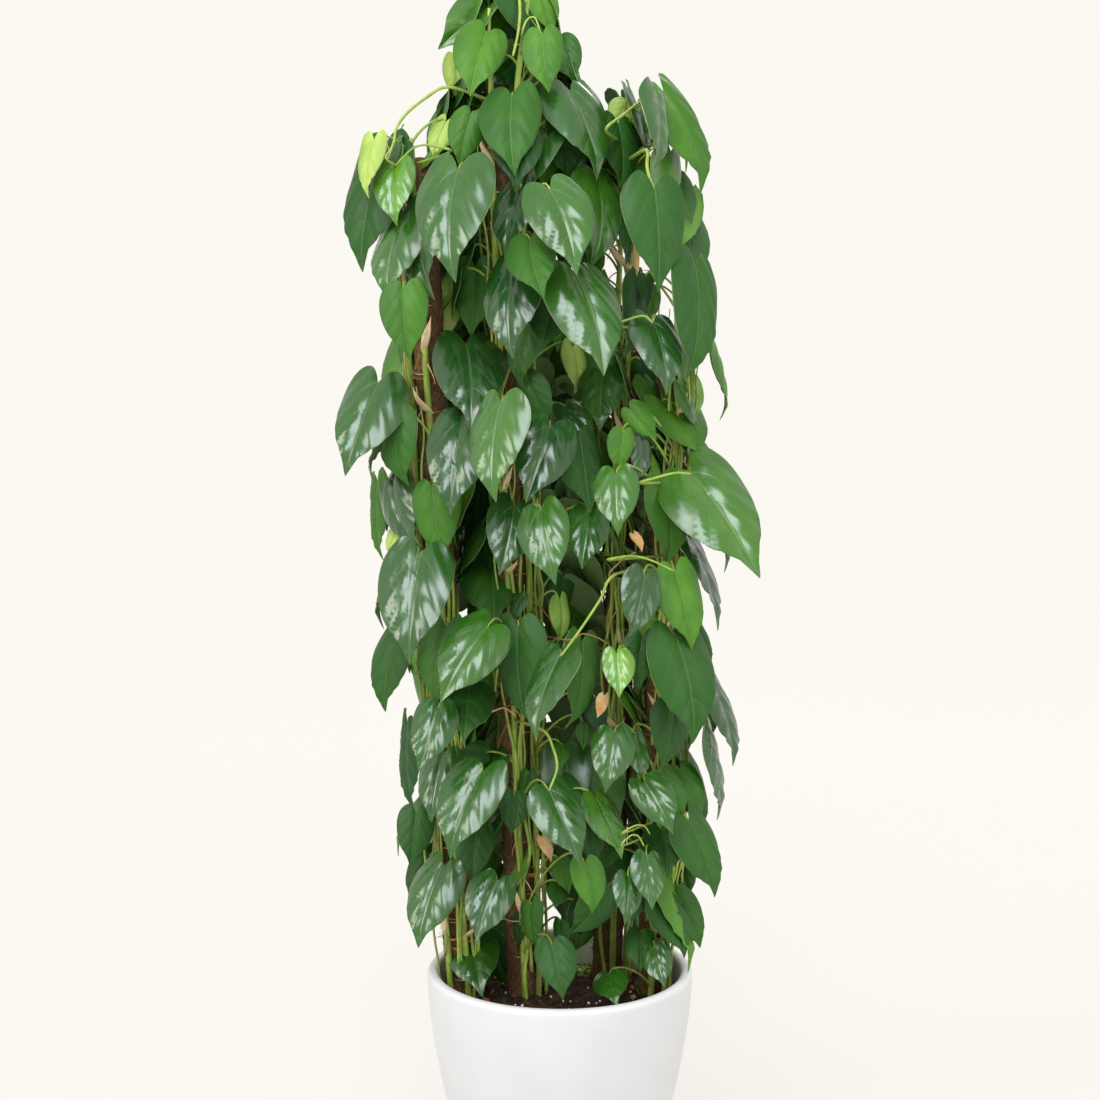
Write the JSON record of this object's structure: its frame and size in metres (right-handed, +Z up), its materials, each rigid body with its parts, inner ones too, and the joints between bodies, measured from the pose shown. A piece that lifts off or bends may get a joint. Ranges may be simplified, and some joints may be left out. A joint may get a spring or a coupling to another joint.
{
  "type": "potted philodendron",
  "caption": "Heart-leaf philodendron climbing coir poles in a tapered white planter; it stands on the planter's flat underside.",
  "frame": {"origin": "middle of the planter's flat underside", "axes": "+Z up; -Y is the plant's front; +X to the right as seen from the front"},
  "size_m": [0.4206, 0.3299, 1.2896],
  "materials": {
    "pot": "matte",
    "soil": "matte",
    "coir": "matte",
    "stake": "matte",
    "foliage": "satin"
  },
  "bodies": {
    "root": {"pot": "pot", "soil": "soil", "coir_pole_left": "coir", "coir_pole_middle": "coir", "coir_pole_right": "coir", "coir_pole_far_right": "coir", "stake_left": "stake", "stake_middle": "stake", "stake_right": "stake", "stake_far_right": "stake", "vine_left_front": "foliage", "vine_left_outer": "foliage", "vine_left_back": "foliage", "vine_middle_front": "foliage", "vine_middle_right": "foliage", "vine_middle_back": "foliage", "vine_right_front": "foliage", "vine_right_side": "foliage", "vine_right_back": "foliage", "vine_far_right_front": "foliage", "vine_far_right_outer": "foliage", "vine_far_right_back": "foliage"}
  },
  "joints": []
}
